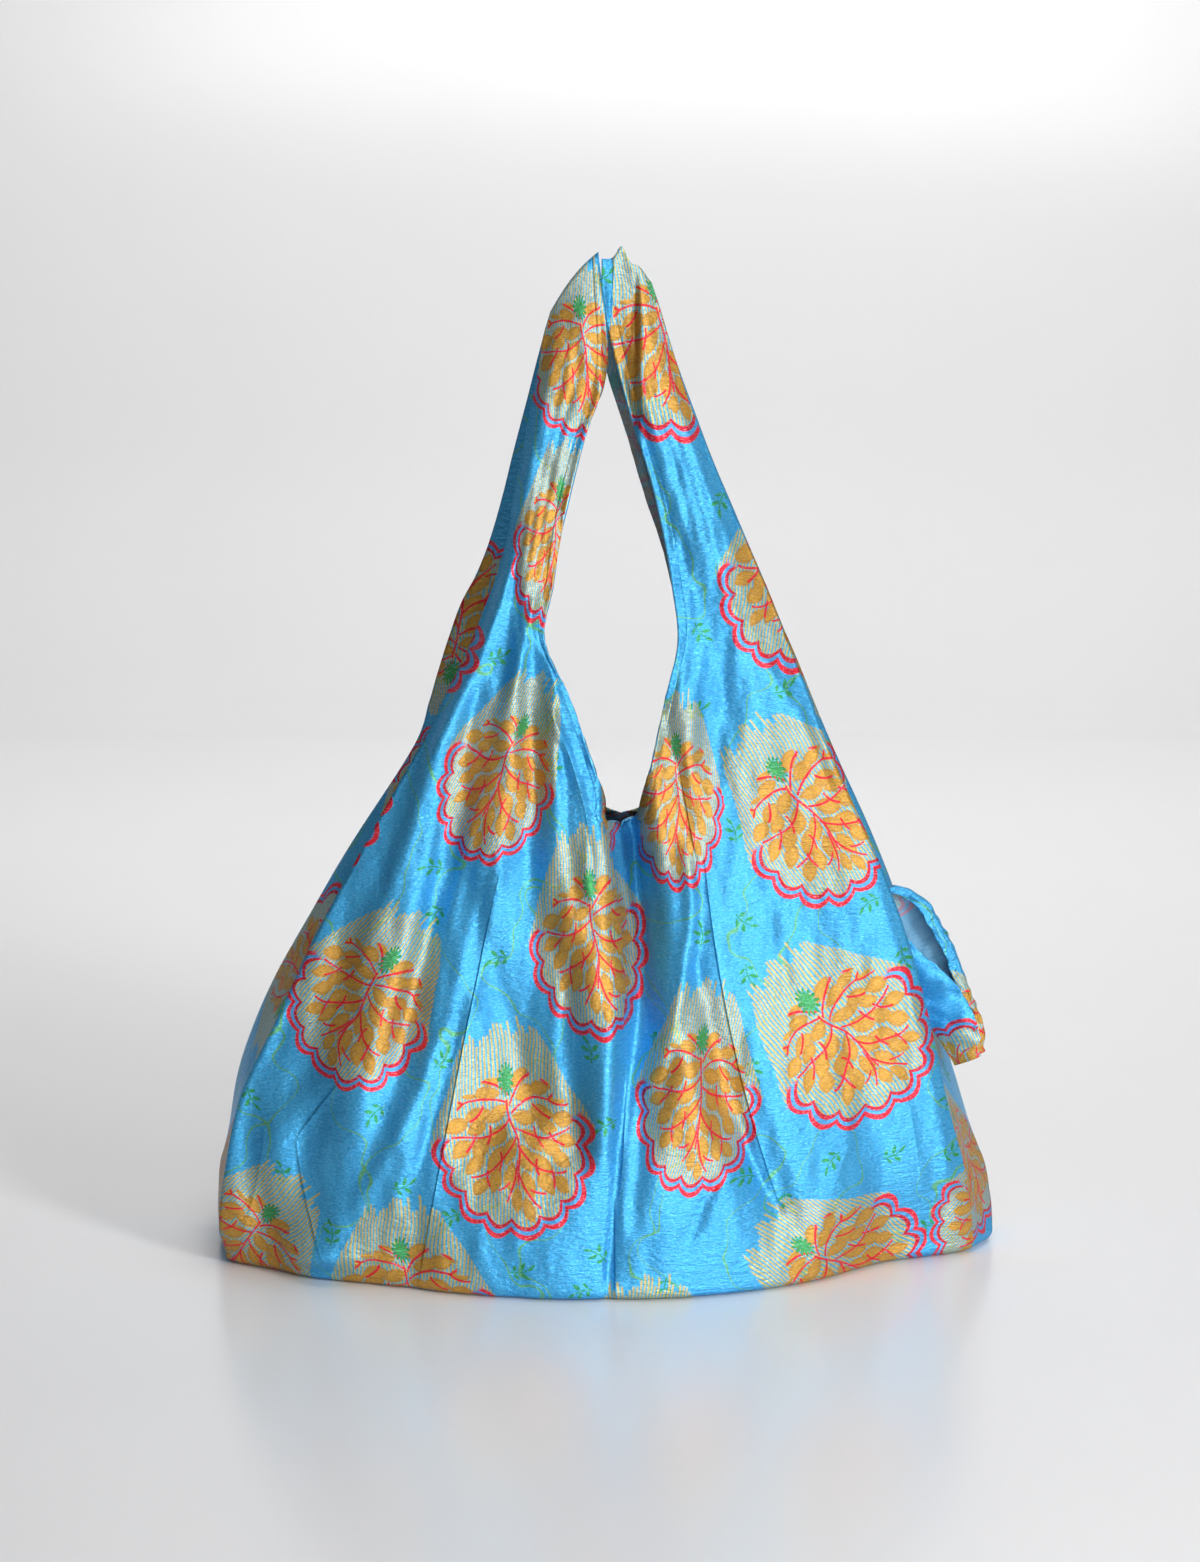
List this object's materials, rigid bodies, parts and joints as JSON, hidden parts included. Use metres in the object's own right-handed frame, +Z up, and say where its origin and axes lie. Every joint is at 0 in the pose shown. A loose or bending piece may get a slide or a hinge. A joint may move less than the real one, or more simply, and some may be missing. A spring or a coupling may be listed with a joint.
{
  "type": "reusable shopping bag",
  "caption": "Foldable vest-type shopping bag of satin brocade, standing open with its strap loops drawn up, pressed side gussets and a small stow pouch at the right seam.",
  "frame": {"origin": "middle of the base, on the surface the bag stands on", "axes": "+Z up, the front wall faces -Y, +X to the right seen from the front"},
  "size_m": [0.4707, 0.2503, 0.5951],
  "materials": {
    "front_satin": "satin brocade with gold, red and green figures",
    "back_satin": "satin brocade with gold, red and green figures",
    "pouch_satin": "satin brocade, dull wrong side showing inside"
  },
  "bodies": {
    "root": {"front_panel": "front_satin", "back_panel": "back_satin", "stow_pouch": "pouch_satin"}
  },
  "joints": []
}
